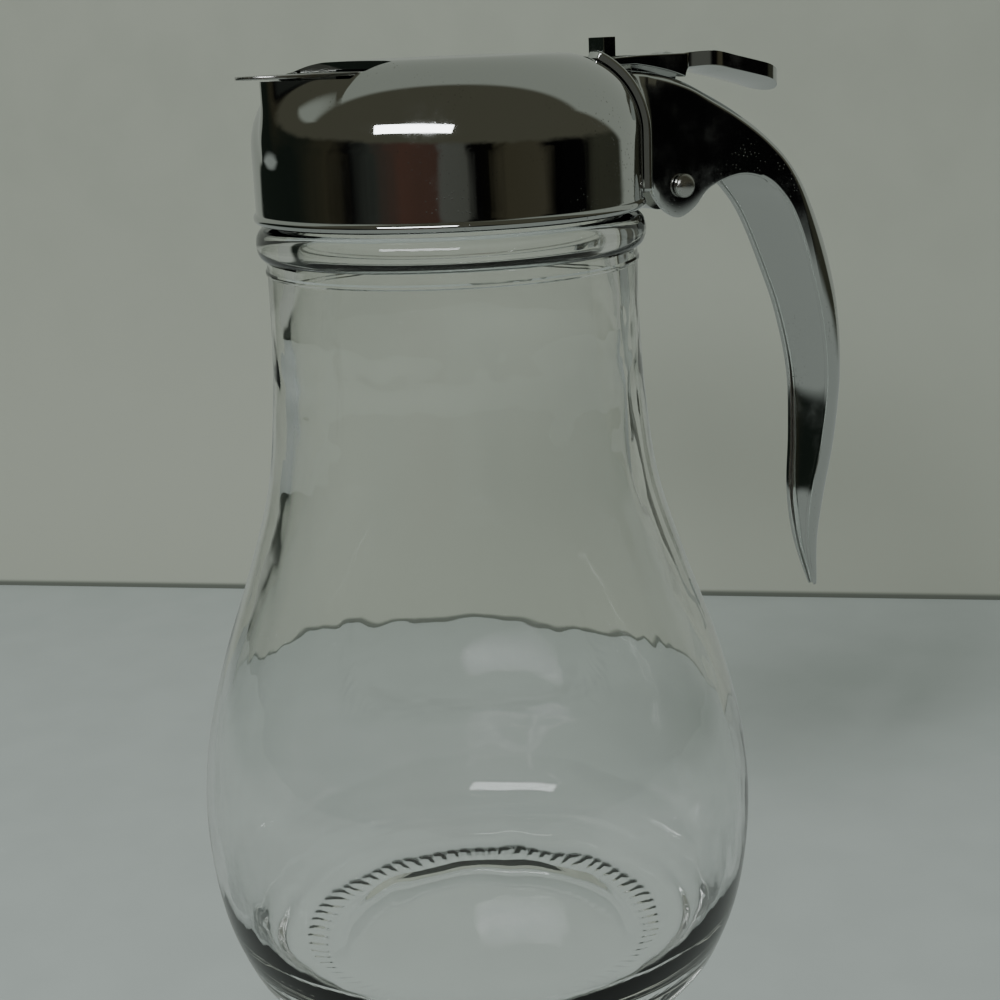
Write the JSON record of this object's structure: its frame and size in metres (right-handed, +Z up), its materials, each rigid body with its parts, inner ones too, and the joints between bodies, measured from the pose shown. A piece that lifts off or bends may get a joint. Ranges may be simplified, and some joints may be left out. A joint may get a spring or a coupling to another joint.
{
  "type": "syrup server",
  "caption": "Pear-shaped clear glass syrup server with a chromed dome cap, pouring beak, sliding cut-off blade, thumb lever and claw handle.",
  "frame": {"origin": "centre of the flat foot of the glass jar, on the jar's axis", "axes": "+Z up along the jar's axis, +X from the axis towards the handle, the beak at -X"},
  "size_m": [0.124, 0.0904, 0.1523],
  "materials": {
    "clear_glass": "clear moulded glass, slightly wavy",
    "chrome": "bright plated, lightly worn",
    "bright_steel": "polished"
  },
  "bodies": {
    "server": {"glass_jar": "clear_glass", "cap": "chrome", "handle": "chrome", "pivot_rivet": "bright_steel"},
    "lever": {"lever": "chrome"},
    "blade": {"blade": "bright_steel"}
  },
  "joints": [
    {"name": "lever_press", "type": "hinge", "parent": "server", "child": "lever", "pos_m": [0.0387, 0, 0.1287], "axis": [0, 1, 0], "range_deg": [0, 24], "stiffness_Nm_per_rad": 0.25, "springref_deg": -14.32},
    {"name": "blade_slide", "type": "slide", "parent": "server", "child": "blade", "axis": [1, 0, 0], "range_m": [0, 0.0082]}
  ],
  "couplings": [
    {"joint": "blade_slide", "follows": "lever_press", "m_per_rad": 0.0191}
  ]
}
